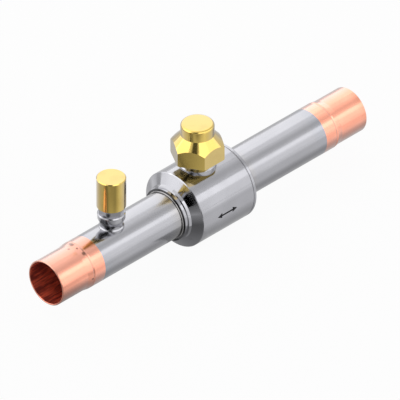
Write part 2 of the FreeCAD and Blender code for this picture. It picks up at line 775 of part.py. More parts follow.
def make_core():
    """The valve core: barrel with a threaded head, gasket, spring-loaded pin, cup and seal."""
    barrel = up_stem("core_turned", [
        ("pin_radius + run_gap", "core_bottom"),
        ("barrel_radius", "core_bottom"),
        ("barrel_radius", "core_top - core_head_height - core_head_step"),
        ("core_head_radius", "core_top - core_head_height"),
        ("core_head_radius", "core_top"),
        ("pin_radius + run_gap", "core_top"),
        ("pin_radius + run_gap", "core_top - core_guide"),
        ("core_chamber_radius", "core_top - core_guide"),
        ("core_chamber_radius", "spring_bottom"),
        ("pin_radius + run_gap", "spring_bottom"),
    ])
    slot = block(
        "core_slot_block",
        "core_slot",
        "2 * core_head_radius",
        "core_slot_depth",
        ("-core_slot / 2", "-core_head_radius", "core_top - core_slot_depth"),
    )
    node(at_port(cut("core", barrel, slot)), "core_body")
    gasket = up_stem("core_gasket_turned", [
        ("barrel_radius", "core_gasket_bottom"),
        ("port_bore_radius", "core_gasket_bottom"),
        ("core_seat_radius", "core_gasket_bottom + core_gasket_taper"),
        ("core_seat_radius", "core_gasket_top"),
        ("barrel_radius", "core_gasket_top"),
    ])
    node(at_port(gasket), "core_gasket")
    pin = up_stem("core_pin_turned", [
        ("0", "core_cup_bottom"),
        ("barrel_radius", "core_cup_bottom"),
        ("barrel_radius", "core_cup_top"),
        ("pin_radius", "core_cup_top"),
        ("pin_radius", "spring_top"),
        ("pin_collar_radius", "spring_top"),
        ("pin_collar_radius", "spring_top + pin_collar_height"),
        ("pin_radius", "spring_top + pin_collar_height"),
        ("pin_radius", "core_top + pin_stand"),
        ("0", "core_top + pin_stand"),
    ])
    node(at_port(pin), "core_pin")
    seal = up_stem("core_seal_turned", [
        ("pin_radius", "core_cup_top"),
        ("barrel_radius", "core_cup_top"),
        ("barrel_radius", "core_seal_top"),
        ("pin_radius", "core_seal_top"),
    ])
    node(at_port(seal), "core_seal")


def make_core_spring():
    """The coil spring round the core's pin, between the barrel's lip and the pin's collar."""
    wire = size("spring_wire_radius")
    coil_radius = (size("pin_radius") + size("core_chamber_radius")) / 2
    height = size("spring_top") - size("spring_bottom") - 2 * wire
    helix = Part.makeHelix(height / size("spring_turns"), height, coil_radius)
    section = Part.makeCircle(wire, FreeCAD.Vector(coil_radius, 0, 0), FreeCAD.Vector(0, 1, 0))
    coil = Part.Wire(helix.Edges).makePipeShell([Part.Wire([section])], True, True)
    spring = doc.addObject("Part::Feature", "core_coil")
    spring.Shape = coil
    spring.Placement = FreeCAD.Placement(
        FreeCAD.Vector(-size("port_station"), 0, size("spring_bottom") + wire), FreeCAD.Rotation()
    )
    node(spring, "core_spring")


def make_access_cap():
    """The round brass cap of the port and the seal inside it."""
    cap = up_stem("access_cap_turned", [
        ("port_thread_radius + run_gap", "access_cap_bottom"),
        ("access_cap_radius - access_cap_edge", "access_cap_bottom"),
        ("access_cap_radius", "access_cap_bottom + access_cap_edge"),
        ("access_cap_radius", "access_cap_top_face - access_cap_edge"),
        ("access_cap_radius - access_cap_edge", "access_cap_top_face"),
        ("0", "access_cap_top_face"),
        ("0", "access_cap_ceiling"),
        ("port_tip_radius", "access_cap_ceiling"),
        ("port_tip_radius", "access_cap_shoulder"),
        ("port_thread_radius + run_gap", "access_cap_shoulder"),
    ])
    node(at_port(cap), "access_cap")
    seal = up_stem("access_seal_turned", [
        ("port_thread_radius - access_seal_inset - access_seal_width", "port_tip + run_gap"),
        ("port_thread_radius - access_seal_inset", "port_tip + run_gap"),
        ("port_thread_radius - access_seal_inset", "port_tip + run_gap + access_seal_height"),
        (
            "port_thread_radius - access_seal_inset - access_seal_width",
            "port_tip + run_gap + access_seal_height",
        ),
    ])
    node(at_port(seal), "access_cap_seal")


def export_nodes():
    """Writes each node to its STEP file once every object is sound."""
    doc.recompute()
    for thing in doc.Objects:
        if "Invalid" in thing.State or "Error" in thing.State:
            raise RuntimeError(f"{thing.Name} is {thing.State}")
    os.makedirs("parts", exist_ok=True)
    for thing in NODES:
        shape = thing.Shape
        if shape.isNull() or not shape.isValid() or not shape.Solids:
            raise RuntimeError(f"{thing.Label} has no sound solid")
        shape.exportStep(f"parts/{thing.Label}.step")
        print(thing.Label, len(shape.Solids), "solid", round(shape.Volume, 1), "mm3")


make_valve_body()
make_end_closure()
for side in ("left", "right"):
    make_tube(side)
    make_copper_end(side)
    make_seat(side)
make_ball()
make_stem_neck()
make_stem()
make_stop_pin()
make_stem_seals()
make_seal_cap()
make_access_port()
make_core()
make_core_spring()
make_access_cap()
export_nodes()
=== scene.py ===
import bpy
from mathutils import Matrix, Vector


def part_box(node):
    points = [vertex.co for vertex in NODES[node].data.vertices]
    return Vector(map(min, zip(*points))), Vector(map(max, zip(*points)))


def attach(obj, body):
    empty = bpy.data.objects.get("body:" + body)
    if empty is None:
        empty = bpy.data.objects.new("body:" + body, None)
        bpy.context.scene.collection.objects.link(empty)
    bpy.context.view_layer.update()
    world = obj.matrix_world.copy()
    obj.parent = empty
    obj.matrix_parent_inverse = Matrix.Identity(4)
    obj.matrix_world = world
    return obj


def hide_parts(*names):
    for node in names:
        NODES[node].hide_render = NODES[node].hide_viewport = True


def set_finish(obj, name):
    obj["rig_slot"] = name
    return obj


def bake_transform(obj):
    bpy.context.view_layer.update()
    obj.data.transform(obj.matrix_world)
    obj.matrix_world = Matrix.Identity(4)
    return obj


bl_info = {
    "name": "Refrigerant service valve",
    "version": (1, 0, 0),
    "blender": (4, 5, 0),
    "location": "View3D > Sidebar > Valve",
    "description": "Finishes, threads, flow arrow, weld bead and photo stage of the service valve",
    "category": "Object",
}

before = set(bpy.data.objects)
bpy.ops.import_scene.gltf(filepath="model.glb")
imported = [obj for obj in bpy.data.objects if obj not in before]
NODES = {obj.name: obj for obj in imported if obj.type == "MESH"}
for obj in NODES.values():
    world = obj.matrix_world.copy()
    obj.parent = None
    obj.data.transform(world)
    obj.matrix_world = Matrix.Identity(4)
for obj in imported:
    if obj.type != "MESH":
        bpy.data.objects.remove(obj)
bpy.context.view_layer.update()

import math

import bmesh
import bpy
from bpy.props import FloatProperty, FloatVectorProperty, IntProperty, PointerProperty
from mathutils import Vector

MM = 0.001
WHITE = (1.0, 1.0, 1.0, 1.0)
ALONG_FLOW = (1.0, 0.0, 0.0)
UPRIGHT = (0.0, 0.0, 1.0)
OFF_FLOW = (0.0, 1.0, 1.0)
OFF_UPRIGHT = (1.0, 1.0, 0.0)

# places taken from the solids
BODY_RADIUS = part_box("valve_body")[1].y
NECK_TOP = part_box("stem_neck")[1].z
PORT_LOW, PORT_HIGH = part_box("access_port")
PORT_AXIS = (PORT_LOW.x + PORT_HIGH.x) / 2
CAP_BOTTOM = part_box("seal_cap")[0].z
ACCESS_CAP_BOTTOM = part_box("access_cap")[0].z
CORE_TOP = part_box("core_body")[1].z
HUB_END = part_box("valve_body")[0].x


def colour(name, description, red, green, blue):
    """A colour to set."""
    return FloatVectorProperty(
        name=name, description=description, subtype="COLOR",
        size=3, min=0.0, max=1.0, default=(red, green, blue),
    )


def along_flow(name, description, millimetres):
    """A place along the flow, or a shift, which may be below 0."""
    return FloatProperty(
        name=name, description=description, subtype="DISTANCE", unit="LENGTH", default=millimetres * MM,
    )


def bearing(name, description, degrees):
    """An angle to set."""
    return FloatProperty(
        name=name, description=description, subtype="ANGLE", unit="ROTATION", default=math.radians(degrees),
    )


def share(name, description, default):
    """A share to set, from 0 to 1."""
    return FloatProperty(
        name=name, description=description, subtype="FACTOR", min=0.0, max=1.0, default=default,
    )


def distance(name, description, millimetres):
    """A length to set, which is never below 0."""
    return FloatProperty(
        name=name, description=description, subtype="DISTANCE", unit="LENGTH",
        min=0.0, precision=5, default=millimetres * MM,
    )


class ValveFinishes(bpy.types.PropertyGroup):
    """Colours and gloss of the valve's metals, polymers and rubber."""

    steel: colour("Body steel", "Polished steel of the body, neck and closure", 0.40, 0.40, 0.425)
    steel_gloss: share("Body steel roughness", "Roughness of the turned body", 0.13)
    tube: colour("Tube steel", "Drawn and polished steel of the line tubes", 0.405, 0.405, 0.43)
    tube_gloss: share("Tube roughness", "Roughness of the line tubes", 0.17)
    copper: colour("Copper", "Bright copper of the solder ends", 1.0, 0.43, 0.30)
    copper_bore: colour("Copper bore", "Duller copper inside the sockets", 0.95, 0.16, 0.08)
    copper_gloss: share("Copper roughness", "Roughness of the solder ends", 0.20)
    brass: colour("Brass", "Bright brass of both caps", 0.66, 0.485, 0.135)
    brass_gloss: share("Brass roughness", "Roughness of the caps", 0.09)
    core: colour("Core brass", "Brass of the valve core", 0.56, 0.43, 0.17)
    ball: colour("Ball steel", "Lapped steel of the ball and stem", 0.44, 0.44, 0.45)
    spring: colour("Spring steel", "Drawn wire and disc springs", 0.31, 0.31, 0.32)
    polymer: colour("Polymer", "Off-white polymer of the seats, washers and gaskets", 0.78, 0.77, 0.72)
    rubber: colour("Rubber", "Black rubber of the seal rings", 0.018, 0.018, 0.020)
    sign: colour("Arrow ink", "Dark etched flow arrow", 0.010, 0.010, 0.012)


class ValveThreads(bpy.types.PropertyGroup):
    """Pitches and depths of the cut threads."""

    neck_radius: distance("Neck thread radius", "Outer radius of the neck's thread", 8.0)
    neck_pitch: distance("Neck pitch", "Pitch under the seal cap", 1.5)
    port_radius: distance("Port thread radius", "Outer radius of the port's thread", 5.56)
    port_pitch: distance("Port pitch", "Pitch under the access cap", 1.27)
    core_radius: distance("Core thread radius", "Outer radius of the core's head", 2.65)
    core_pitch: distance("Core pitch", "Pitch of the core's head", 0.7)
    depth_share: share("Depth", "Depth of a thread as a share of its pitch", 0.55)
    steps: IntProperty(name="Steps", description="Steps in a turn of a thread", min=12, default=48)


class ValveMarks(bpy.types.PropertyGroup):
    """The flow arrow on the body and the bead of the closing seam."""

    arrow_start: along_flow("Arrow start", "Left tip of the flow arrow along the flow", -5.9)
    arrow_length: distance("Arrow length", "Tip to tip", 13.2)
    arrow_line: distance("Arrow line", "Width of the arrow's line", 0.92)
    arrow_head: distance("Arrow head", "Length of a head", 3.0)
    arrow_spread: distance("Arrow spread", "Width of a head", 3.0)
    arrow_lift: distance("Arrow lift", "Mark above the steel", 0.02)
    seam_place: distance("Seam place", "Middle of the closing seam right of the ball", 19.1)
    seam_width: distance("Seam width", "Width of the groove that the bead fills", 0.6)
    seam_depth: distance("Seam depth", "Depth of the groove that the bead fills", 0.35)
    bead_low: distance("Bead's drop", "The bead's highest line below the body's surface", 0.05)
    bead_ripple: distance("Ripple", "Height of the bead's ripples", 0.012)


class ValveStage(bpy.types.PropertyGroup):
    """Camera, floor, lamps and cards of the picture."""

    scale: distance("Millimetres per pixel", "Width of one pixel of the picture", 0.49)
    pixels: IntProperty(name="Pixels", description="Width of the picture", min=1, default=400)
    lens: FloatProperty(name="Lens", description="Focal length in millimetres", default=1500.0)
    azimuth: bearing("Azimuth", "Camera's side of the valve", -45)
    elevation: bearing("Elevation", "Camera above the horizon", 35)
    shift_right: along_flow("Aim right", "Picture's centre right of the ball", 1.24)
    shift_down: distance("Aim down", "Picture's centre below the ball", 1.77)
    floor_drop: distance("Floor", "Floor below the body", 0.4)
    daylight: share("Daylight", "Even light of the room", 0.65)
    low_glow: share("Low soft box", "Brightness over the room's white", 0.42)
    front_glow: share("Front soft box", "Brightness over the room's white", 0.92)
    top_glow: share("Top soft box", "Brightness over the room's white", 0.40)
    back_glow: share("Back soft box", "Brightness over the room's white", 0.85)


def unit_vector(azimuth, elevation):
    """Direction from the valve to something at that azimuth and elevation, in degrees."""
    turn, rise = math.radians(azimuth), math.radians(elevation)
    return Vector((math.sin(turn) * math.cos(rise), -math.cos(turn) * math.cos(rise), math.sin(rise)))


class Finish:
    """The nodes of one finish, which read the surface's place in metres."""

    def __init__(self, name, base, metallic):
        self.material = bpy.data.materials.new(name)
        self.material.use_nodes = True
        self.nodes = self.material.node_tree.nodes
        self.links = self.material.node_tree.links
        self.shader = self.nodes["Principled BSDF"]
        self.shader.inputs["Metallic"].default_value = metallic
        self.base = tuple(base) + (1.0,)
        self.shader.inputs["Base Color"].default_value = self.base
        self.place = self.node("ShaderNodeTexCoord").outputs["Object"]

    def node(self, kind, inputs=(), **choices):
        """A new node with its choices set and its inputs fed."""
        made = self.nodes.new(kind)
        for name, value in choices.items():
            setattr(made, name, value)
        for key, value in dict(inputs).items():
            self.feed(made.inputs[key], value)
        return made

    def feed(self, socket, value):
        """Links a socket to another, or sets its value."""
        if isinstance(value, bpy.types.NodeSocket):
            self.links.new(value, socket)
        else:
            socket.default_value = value

    def grain(self, stretch, detail=2.0, roughness=0.5):
        """Noise whose grains are 1 / stretch metres long each way."""
        scaled = self.node("ShaderNodeVectorMath", {0: self.place, 1: stretch}, operation="MULTIPLY")
        noise = self.node(
            "ShaderNodeTexNoise",
            {"Vector": scaled.outputs[0], "Scale": 1.0, "Detail": detail, "Roughness": roughness},
        )
        return noise.outputs[0]

    def off_axis(self, mask, centre=(0.0, 0.0, 0.0)):
        """Distance from an axis, where mask is 0 along it."""
        moved = self.node("ShaderNodeVectorMath", {0: self.place, 1: centre}, operation="SUBTRACT")
        flat = self.node("ShaderNodeVectorMath", {0: moved.outputs[0], 1: mask}, operation="MULTIPLY")
        return self.node("ShaderNodeVectorMath", {0: flat.outputs[0]}, operation="LENGTH").outputs["Value"]

    def rings(self, mask, centre, per_metre):
        """Turning marks round an axis, the same all the way round."""
        away = self.off_axis(mask, centre)
        noise = self.node(
            "ShaderNodeTexNoise", {"W": away, "Scale": per_metre, "Detail": 2.0}, noise_dimensions="1D",
        )
        return noise.outputs[0]

    def axis(self, letter):
        """The surface's place along X, Y or Z."""
        return self.node("ShaderNodeSeparateXYZ", {0: self.place}).outputs[letter]

    def math(self, operation, first, second=0.0):
        """One step of arithmetic."""
        return self.node("ShaderNodeMath", {0: first, 1: second}, operation=operation).outputs[0]

    def level(self, value, low, high, start=0.0, end=1.0):
        """The value's run from start to end, taken to low and high and held there."""
        made = self.node(
            "ShaderNodeMapRange",
            {"Value": value, "From Min": start, "From Max": end, "To Min": low, "To Max": high},
        )
        return made.outputs[0]

    def blend(self, factor, first, second, way="MIX"):
        """From the first colour, at factor 0, to the second, at 1."""
        made = self.node("ShaderNodeMix", data_type="RGBA", blend_type=way)
        self.feed(made.inputs["Factor"], factor)
        for socket, value in zip([s for s in made.inputs if s.type == "RGBA"], (first, second)):
            self.feed(socket, value)
        return next(s for s in made.outputs if s.type == "RGBA")

    def ramp(self, value, levels):
        """Greys along a value. levels are (place, grey)."""
        made = self.node("ShaderNodeValToRGB", {0: value})
        stops = made.color_ramp.elements
        while len(stops) < len(levels):
            stops.new(0.5)
        for stop, (place, grey) in zip(stops, levels):
            stop.position = place
            stop.color = (grey, grey, grey, 1.0)
        return made.outputs[0]

    def rim(self, tint, edge, start=0.35):
        """Painted sheen: the tint, nearer to the edge colour where the surface turns away from the eye."""
        turned_away = self.node("ShaderNodeLayerWeight", {0: 0.5}).outputs["Facing"]
        return self.blend(self.level(turned_away, 0.0, 0.8, start, 0.80), tint, edge)

    def spot(self, centre, radius):
        """1 at a point and 0 from that radius on."""
        away = self.node("ShaderNodeVectorMath", {0: self.place, 1: centre}, operation="DISTANCE")
        return self.level(away.outputs["Value"], 1.0, 0.0, 0.45 * radius, radius)

    def shade(self, amount):
        """The base colour times an amount."""
        return tuple(part * amount for part in self.base[:3]) + (1.0,)

    def mottled(self, tint, grain, most, start, end, amount):
        """The tint, with up to that much of a shade where the grain is high."""
        return self.blend(self.level(grain, 0.0, most, start, end), tint, self.shade(amount))

    def over(self, tint, mask, strength, colour):
        """The tint with a colour laid over it where the mask is 1, that strongly."""
        return self.blend(self.math("MULTIPLY", mask, strength), tint, colour)

    def marked(self, tint, spots, strength, stain_or_shade):
        """The tint with a darker colour at the spots, given as (place, reach); it lays real marks and
        painted shade alike.
        """
        for centre, radius in spots:
            tint = self.over(tint, self.spot(centre, radius), strength, stain_or_shade)
        return tint

    def bump(self, height, depth):
        """Small relief that far deep, in metres."""
        inputs = {"Height": height, "Strength": 1.0, "Distance": depth}
        return self.node("ShaderNodeBump", inputs).outputs[0]

    def see_through_behind(self, shader):
        """The shader on the front of a sheet and nothing on its back."""
        clear = self.node("ShaderNodeBsdfTransparent").outputs[0]
        side = self.node("ShaderNodeNewGeometry").outputs["Backfacing"]
        return self.node("ShaderNodeMixShader", {0: side, 1: shader, 2: clear}).outputs[0]

    def finish(self, tint, roughness, normal):
        """Feeds the shader and gives back the material."""
        self.feed(self.shader.inputs["Base Color"], tint)
        self.feed(self.shader.inputs["Roughness"], roughness)
        self.feed(self.shader.inputs["Normal"], normal)
        return self.material


def dress(material, slot, *names):
    """Gives CAD nodes a finish."""
    for name in names:
        piece = NODES[name]
        piece.data.materials.clear()
        piece.data.materials.append(material)
        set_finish(piece, slot)


# the grains of the finishes are given as how many there are in a metre, each way
SMUDGES = (90.0, 90.0, 90.0)
SCRATCHES = (260.0, 2600.0, 2600.0)
TURNED_LINES, TURNED_LENGTH = 5200.0, 12.0
TURNED_DEPTH = 1.4e-6
# where the hub's smoother end passes into the body, and the ring of painted shade beside its weld, at its
# joint with the tube, along the flow
BRIGHT_END = (-0.0176, -0.0166)
JOINT_SHADE_RUN = (HUB_END + 0.00015, HUB_END + 0.0004)
JOINT_SHADE_LEVEL = 0.06
BRIGHT_GLOSS_SHARE = 0.45
# painted shade: dark spots on the port's left front, standing for the nut's dark reflection and shadow
# there: place and reach, in metres
SHADE_SPOT_LEVEL = 0.05
PORT_SHADE_SPOTS = [
    ((PORT_AXIS - 0.0060, -0.0006, 0.0167), 0.0030), ((PORT_AXIS - 0.0054, -0.0027, 0.0147), 0.0027),
    ((PORT_AXIS - 0.0057, -0.0032, 0.0221), 0.0018), ((PORT_AXIS - 0.0055, -0.0013, 0.0187), 0.0026),
    ((PORT_AXIS - 0.0036, -0.0046, 0.0150), 0.0015),
]
# finishes without a lathe's axis have coarser lines, the same every way
LAPPED, LAPPED_GLOSS = (0.3, 0.3, 0.3), 0.08
DRAWN_WIRE, WIRE_GLOSS = (0.2, 0.2, 0.2), 0.28


def turned_steel(name, base, gloss, along=ALONG_FLOW, bright_end=None, shade_spots=()):
    """Steel turned on a lathe and polished: fine rings, smudges, small scratches and any spots of painted
    shade given.

    along is the lathe's axis. The metal left of bright_end is smoother and ends in a ring of painted shade,
    standing for the dark reflection at its joint with the tube.
    """
    made = Finish(name, base, 1.0)
    if bright_end:
        gloss = made.level(made.axis("X"), BRIGHT_GLOSS_SHARE * gloss, gloss, *bright_end)
        joint_shade = made.level(made.axis("X"), 0.85, 0.0, *JOINT_SHADE_RUN)
    fine = made.grain(tuple(TURNED_LINES * part + TURNED_LENGTH for part in along), 3.0, 0.6)
    smudge = made.grain(SMUDGES, 3.0)
    worn = made.level(made.grain(SCRATCHES), 0.0, 1.0, 0.62, 0.80)
    tint = made.mottled(made.base, smudge, 1.0, 0.35, 0.75, 0.90)
    tint = made.over(tint, worn, 0.35, made.shade(1.12))
    # painted shade: a dark ring at the hub's end, where it meets the tube
    if bright_end:
        tint = made.blend(joint_shade, tint, made.shade(JOINT_SHADE_LEVEL))
    # painted shade: dark spots for the nut's reflection and shadow on the port
    tint = made.marked(tint, shade_spots, 0.92, made.shade(SHADE_SPOT_LEVEL))
    uneven = made.math("MULTIPLY", made.level(smudge, 0.8, 1.25, 0.3, 0.7), gloss)
    rough = made.math("ADD", uneven, made.math("MULTIPLY", worn, 0.08))
    height = made.math("ADD", made.math("MULTIPLY", fine, 0.7), made.math("MULTIPLY", worn, 0.3))
    return made.finish(tint, rough, made.bump(height, TURNED_DEPTH))


# heat tints of the tubes: colour, and where each starts and ends away from the ball
HEAT_BLUE, BLUE_RUN = (0.29, 0.33, 0.40, 1.0), (0.0700, 0.0765)
HEAT_STRAW, STRAW_RUN = (0.37, 0.34, 0.29, 1.0), (0.0230, 0.0300)
TUBE_BORE = (0.0098, 0.0112)
TUBE_SMUDGES = (45.0, 90.0, 90.0)
DRAWN_LINES = (14.0, 2400.0, 2400.0)
DRAWN_DEPTH = 5e-6


def drawn_steel(name, base, gloss):
    """Drawn tube: lines along the flow, a faint heat tint beside the welds and the copper."""
    made = Finish(name, base, 1.0)
    lines = made.grain(DRAWN_LINES, 2.0, 0.6)
    smudge = made.grain(TUBE_SMUDGES, 3.0)
    tint = made.mottled(made.base, smudge, 1.0, 0.35, 0.8, 0.90)
    tint = made.mottled(tint, lines, 0.35, 0.5, 0.75, 0.80)
    along = made.math("ABSOLUTE", made.axis("X"))
    blue = made.level(along, 0.0, 0.22, *BLUE_RUN)
    straw = made.level(along, 0.45, 0.0, *STRAW_RUN)
    ragged = made.level(smudge, 0.5, 1.0, 0.3, 0.7)
    tint = made.over(tint, blue, ragged, HEAT_BLUE)
    tint = made.over(tint, straw, ragged, HEAT_STRAW)
    bore = made.level(made.off_axis(OFF_FLOW), 1.0, 0.0, *TUBE_BORE)
    tint = made.over(tint, bore, 0.5, made.shade(0.55))
    rough = made.level(smudge, gloss * 0.85, gloss * 1.3, 0.3, 0.7)
    return made.finish(tint, rough, made.bump(lines, DRAWN_DEPTH))


# dark punch marks on the left sleeve's tube stop: place and reach, in metres
PUNCH_MARKS = [
    ((-0.0846, 0.0019, 0.01245), 0.0016), ((-0.0843, 0.0032, 0.0121), 0.0014),
    ((-0.0880, 0.0006, 0.01245), 0.0011), ((-0.0843, -0.0061, 0.0109), 0.0013),
    ((-0.0850, -0.0020, 0.01235), 0.0008), ((-0.0843, -0.01245, -0.0012), 0.0007),
]
# a brown trail of burnt flux from the port's foot along the sleeve's top
FLUX_TRAIL = [
    ((-0.0738 - 0.00125 * step, -0.0030 - 0.0002 * step, 0.0121), 0.0013 - 0.00005 * step)
    for step in range(8)
]
PUNCH_DARK = (0.17, 0.085, 0.06, 1.0)
FLUX_BROWN = (0.38, 0.14, 0.04, 1.0)
# oxide by the mouth; and painted light: a less saturated, pinker tint on the left sleeve's top, for light
# falling on it from above
MOUTH_OXIDE, MOUTH_RUN = (0.62, 0.25, 0.15, 1.0), (0.1015, 0.1050)
TOP_LIGHT_TINT, TOP_LIGHT_RUN = (0.62, 0.33, 0.26, 1.0), (0.0075, 0.0125)
BORE_STREAK = (0.24, 0.035, 0.025, 1.0)
BORE_STREAKS = (70.0, 520.0, 520.0)
SLEEVE_BORE = (0.01118, 0.01135)
# painted sheen: the grey the copper turns to at its edges, as seen from the eye
COPPER_EDGE_SHEEN = (0.62, 0.56, 0.55, 1.0)
COPPER_SMUDGES = (70.0, 110.0, 110.0)
COPPER_LINES = (20.0, 1700.0, 1700.0)
COPPER_DEPTH = 6e-6


def solder_copper(name, base, bore_colour, gloss):
    """Copper sleeve: drawing lines, oxide, marks of punch and flux, painted light on the left sleeve's top,
    a painted sheen at its edges, and a duller, streaked bore.
    """
    made = Finish(name, base, 1.0)
    lines = made.grain(COPPER_LINES, 2.0, 0.6)
    smudge = made.grain(COPPER_SMUDGES, 4.0)
    tint = made.mottled(made.base, smudge, 0.8, 0.42, 0.8, 0.84)
    tint = made.mottled(tint, lines, 0.3, 0.5, 0.75, 0.74)
    along = made.math("ABSOLUTE", made.axis("X"))
    edge = made.level(along, 0.0, 0.5, *MOUTH_RUN)
    tint = made.over(tint, edge, smudge, MOUTH_OXIDE)
    # painted light: the left sleeve's top is tinted pinker and less saturated, as if lit from above
    left = made.level(made.axis("X"), 1.0, 0.0, -0.001, 0.001)
    tint = made.over(tint, made.level(made.axis("Z"), 0.0, 0.8, *TOP_LIGHT_RUN), left, TOP_LIGHT_TINT)
    tint = made.marked(tint, PUNCH_MARKS, 0.85, PUNCH_DARK)
    tint = made.marked(tint, FLUX_TRAIL, 0.8, FLUX_BROWN)
    inner = made.level(made.off_axis(OFF_FLOW), 1.0, 0.0, *SLEEVE_BORE)
    streak = made.level(made.grain(BORE_STREAKS, 5.0, 0.65), 0.0, 1.0, 0.42, 0.62)
    bore = made.blend(streak, BORE_STREAK, tuple(bore_colour) + (1.0,))
    tint = made.blend(inner, made.rim(tint, COPPER_EDGE_SHEEN), bore)
    made.feed(made.shader.inputs["Metallic"], made.level(inner, 1.0, 0.35))
    uneven = made.level(smudge, gloss * 0.8, gloss * 1.3, 0.3, 0.7)
    rough = made.math("ADD", uneven, made.math("MULTIPLY", inner, 0.16))
    return made.finish(tint, rough, made.bump(lines, COPPER_DEPTH))


BRASS_TARNISH = (0.50, 0.34, 0.09, 1.0)
# painted sheen: the grey the brass turns to at its edges, as seen from the eye
BRASS_EDGE_SHEEN = (0.42, 0.38, 0.33, 1.0)
BRASS_SMUDGES = (120.0, 120.0, 120.0)
BRASS_LINES = (12.0, 12.0, 4600.0)
BRASS_DEPTH = 5e-6
CORE_GLOSS = 0.24


def turned_brass(name, base, gloss, axis_x=0.0):
    """Brass turned upright: rings round its axis, light tarnish, handling marks and a painted sheen at its
    edges.
    """
    made = Finish(name, base, 1.0)
    fine = made.grain(BRASS_LINES, 3.0, 0.6)
    face = made.rings(OFF_UPRIGHT, (axis_x, 0.0, 0.0), TURNED_LINES)
    smudge = made.grain(BRASS_SMUDGES, 4.0)
    tint = made.blend(made.level(smudge, 0.0, 0.6, 0.50, 0.85), made.base, BRASS_TARNISH)
    tint = made.rim(tint, BRASS_EDGE_SHEEN, 0.26)
    rough = made.level(smudge, gloss * 0.8, gloss * 1.35, 0.3, 0.7)
    height = made.math("ADD", made.math("MULTIPLY", fine, 0.5), made.math("MULTIPLY", face, 0.5))
    return made.finish(tint, rough, made.bump(height, BRASS_DEPTH))


# roughness, mottle and depth of each skin
POLYMER_SKIN = (0.48, 0.35, 1e-5)
RUBBER_SKIN = (0.55, 0.5, 1e-5)
INK_SKIN = (0.42, 0.5, 4e-6)
INK_SHINE = 0.08
SKIN_SPOTS = (900.0, 900.0, 900.0)


def soft_ring(name, base, roughness, mottle, depth):
    """Polymer or rubber: matt, slightly mottled, with a moulded skin."""
    made = Finish(name, base, 0.0)
    spots = made.grain(SKIN_SPOTS, 4.0)
    tint = made.mottled(made.base, spots, mottle, 0.3, 0.7, 0.72)
    rough = made.level(spots, roughness - 0.08, roughness + 0.08, 0.3, 0.7)
    return made.finish(tint, rough, made.bump(spots, depth))


class DressSteel(bpy.types.Operator):
    """Gives the body, closure, neck and access port their turned and polished steel."""

    bl_idname = "valve.dress_steel"
    bl_label = "Body, closure, neck and port"

    def execute(self, context):
        look = context.scene.valve_finishes
        body = turned_steel("turned_body_steel", look.steel, look.steel_gloss, bright_end=BRIGHT_END)
        dress(body, "body_steel", "valve_body", "end_closure")
        # the port's steel carries spots of painted shade on its left front
        port = turned_steel("turned_port_steel", look.steel, look.steel_gloss, UPRIGHT, shade_spots=PORT_SHADE_SPOTS)
        dress(port, "tube_steel", "stem_neck", "access_port")
        return {"FINISHED"}


class DressTubes(bpy.types.Operator):
    """Gives the line tubes their drawn steel and the solder ends their copper."""

    bl_idname = "valve.dress_tubes"
    bl_label = "Line tubes and solder ends"

    def execute(self, context):
        look = context.scene.valve_finishes
        tube = drawn_steel("drawn_tube_steel", look.tube, look.tube_gloss)
        dress(tube, "tube_steel", "left_tube", "right_tube")
        copper = solder_copper("solder_end_copper", look.copper, look.copper_bore, look.copper_gloss)
        dress(copper, "copper", "left_copper_end", "right_copper_end")
        return {"FINISHED"}


class DressCaps(bpy.types.Operator):
    """Gives the seal cap, the access cap and the valve core their brass."""

    bl_idname = "valve.dress_caps"
    bl_label = "Brass caps and core"

    def execute(self, context):
        look = context.scene.valve_finishes
        brass = turned_brass("seal_cap_brass", look.brass, look.brass_gloss)
        dress(brass, "cap_brass", "seal_cap")
        brass = turned_brass("access_cap_brass", look.brass, look.brass_gloss, PORT_AXIS)
        dress(brass, "cap_brass", "access_cap")
        brass = turned_brass("core_brass", look.core, CORE_GLOSS, PORT_AXIS)
        dress(brass, "core_brass", "core_body", "core_pin")
        return {"FINISHED"}


class DressInside(bpy.types.Operator):
    """Gives the ball, stem, springs, seats and seals inside the valve their finishes."""

    bl_idname = "valve.dress_inside"
    bl_label = "Ball, stem, seats and seals"

    def execute(self, context):
        look = context.scene.valve_finishes
        ball = turned_steel("lapped_ball_steel", look.ball, LAPPED_GLOSS, LAPPED)
        dress(ball, "ball_steel", "ball", "stem")
        spring = turned_steel("spring_wire_steel", look.spring, WIRE_GLOSS, DRAWN_WIRE)
        dress(spring, "spring_steel", "left_seat_spring", "right_seat_spring", "core_spring", "stop_pin")
        polymer = soft_ring("seat_polymer_skin", look.polymer, *POLYMER_SKIN)
        dress(polymer, "seat_polymer", "left_seat", "right_seat", "thrust_washer")
        dress(polymer, "seat_polymer", "seal_cap_gasket", "core_gasket")
        rubber = soft_ring("seal_rubber_skin", look.rubber, *RUBBER_SKIN)
        dress(rubber, "seal_rubber", "stem_seal_lower", "stem_seal_upper", "core_seal", "access_cap_seal")
        return {"FINISHED"}


SAME_PLACE = 1e-6
SMOOTH_UP_TO = math.radians(28)


def welded_copy(name):
    """The CAD node's mesh with its split corners joined, as points and faces."""
    work = bmesh.new()
    work.from_mesh(NODES[name].data)
    bmesh.ops.remove_doubles(work, verts=work.verts, dist=SAME_PLACE)
    work.verts.ensure_lookup_table()
    points = [tuple(vertex.co) for vertex in work.verts]
    faces = [[vertex.index for vertex in face.verts] for face in work.faces]
    work.free()
    return points, faces


def mesh_of(name, points, faces):
    """A checked mesh of those points and faces."""
    mesh = bpy.data.meshes.new(name)
    mesh.from_pydata(points, [], faces)
    mesh.validate()
    mesh.update()
    return mesh


def faced_out(mesh):
    """Turns a closed mesh's faces outward."""
    work = bmesh.new()
    work.from_mesh(mesh)
    bmesh.ops.recalc_face_normals(work, faces=work.faces)
    work.to_mesh(mesh)
    work.free()
    return mesh


